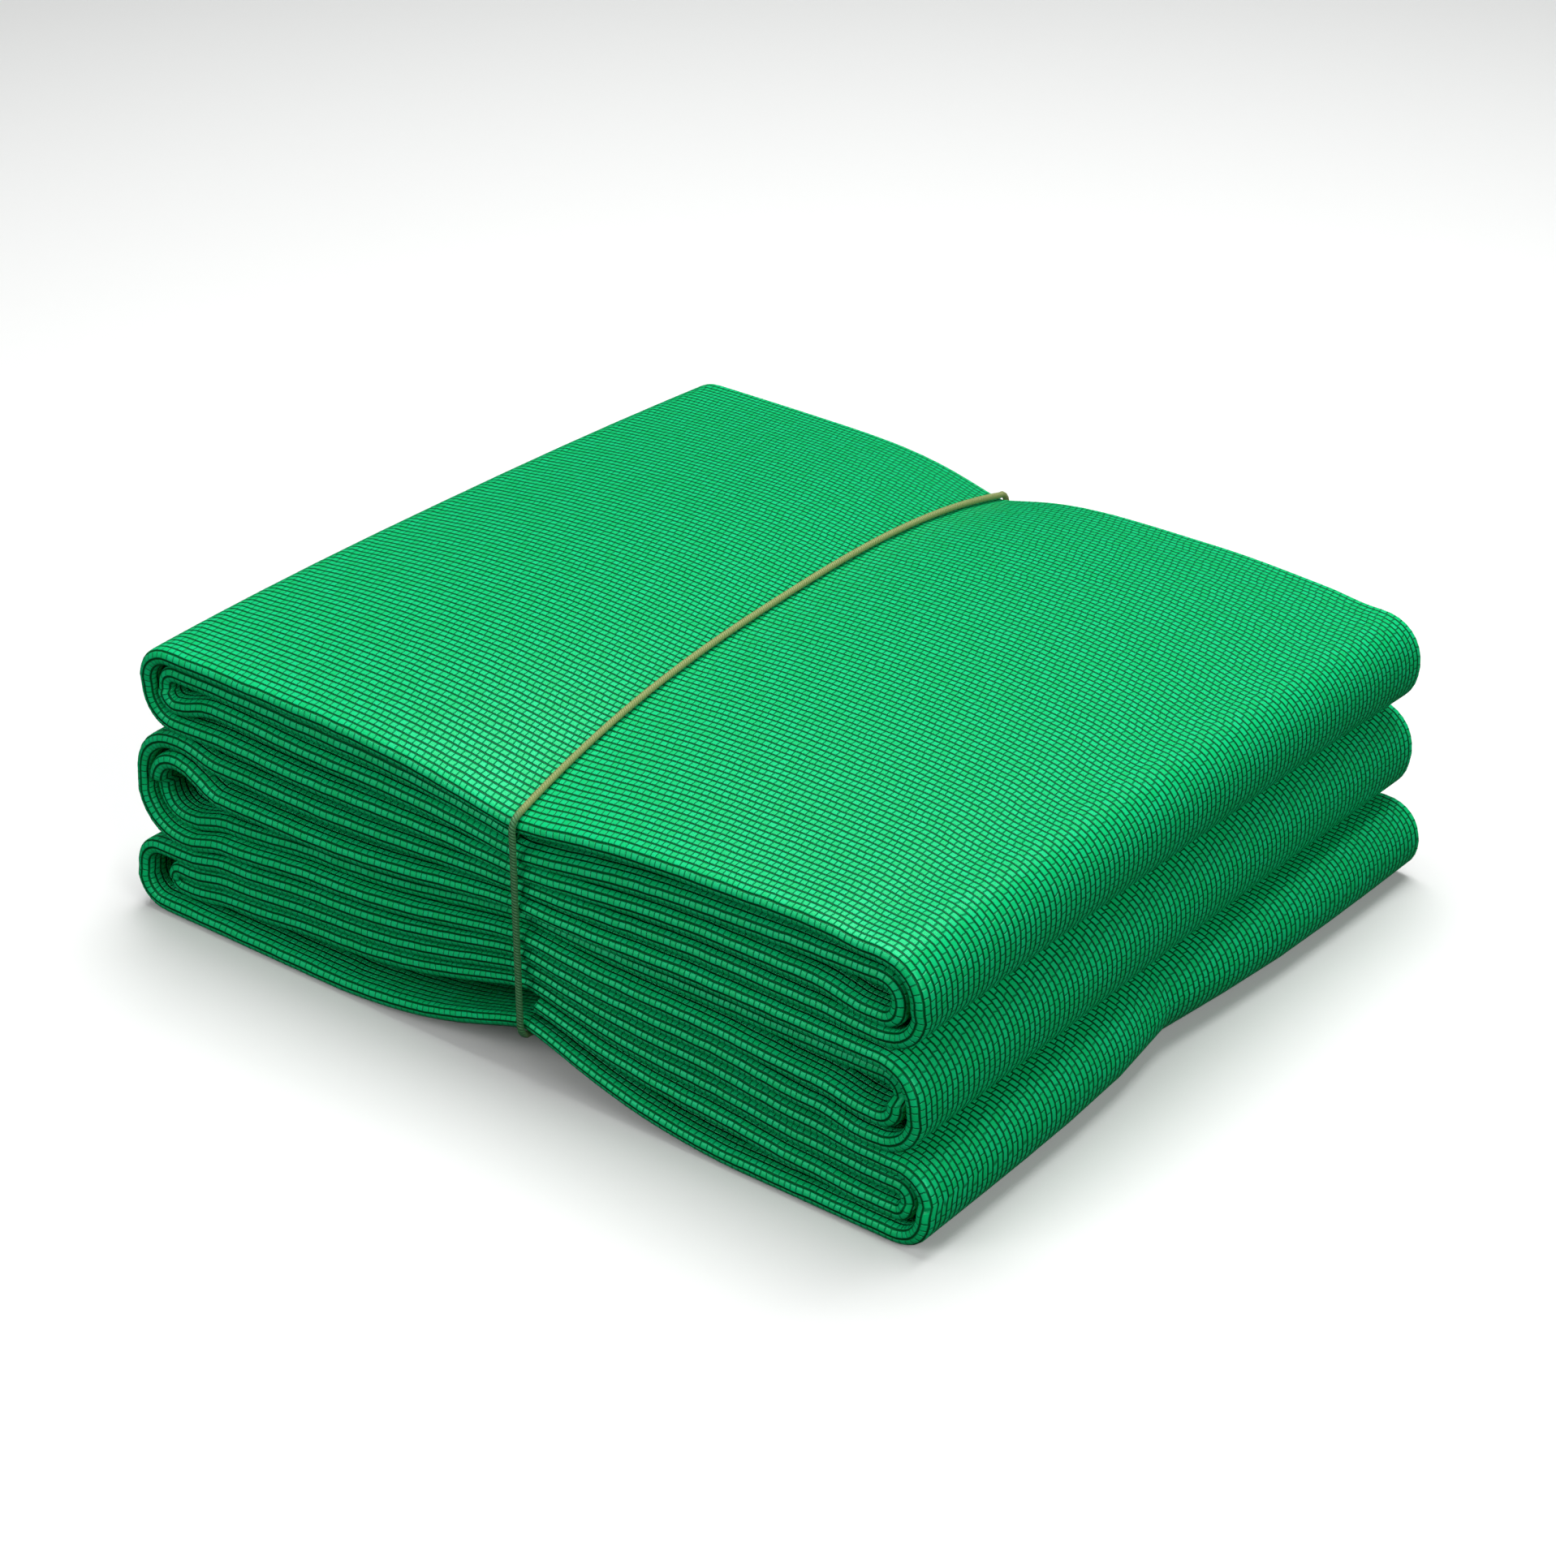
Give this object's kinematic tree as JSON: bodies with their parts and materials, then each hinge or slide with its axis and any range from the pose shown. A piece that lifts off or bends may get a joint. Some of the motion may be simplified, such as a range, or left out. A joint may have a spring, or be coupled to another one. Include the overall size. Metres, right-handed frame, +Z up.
{
  "type": "shade cloth",
  "caption": "Knitted garden shade cloth, folded into a flat square bundle of rolled layers and held round the middle by a thin twine tie.",
  "frame": {"origin": "on the ground, at the centre of the footprint", "axes": "+Z up; +X along the layered front face, from one rolled end to the other; +Y from the front folds to the back edges"},
  "size_m": [0.3587, 0.3134, 0.1195],
  "materials": {
    "cloth": "satin knitted tape",
    "tie": "matte twine"
  },
  "bodies": {
    "root": {"folded_cloth": "cloth", "tie": "tie"}
  },
  "joints": []
}
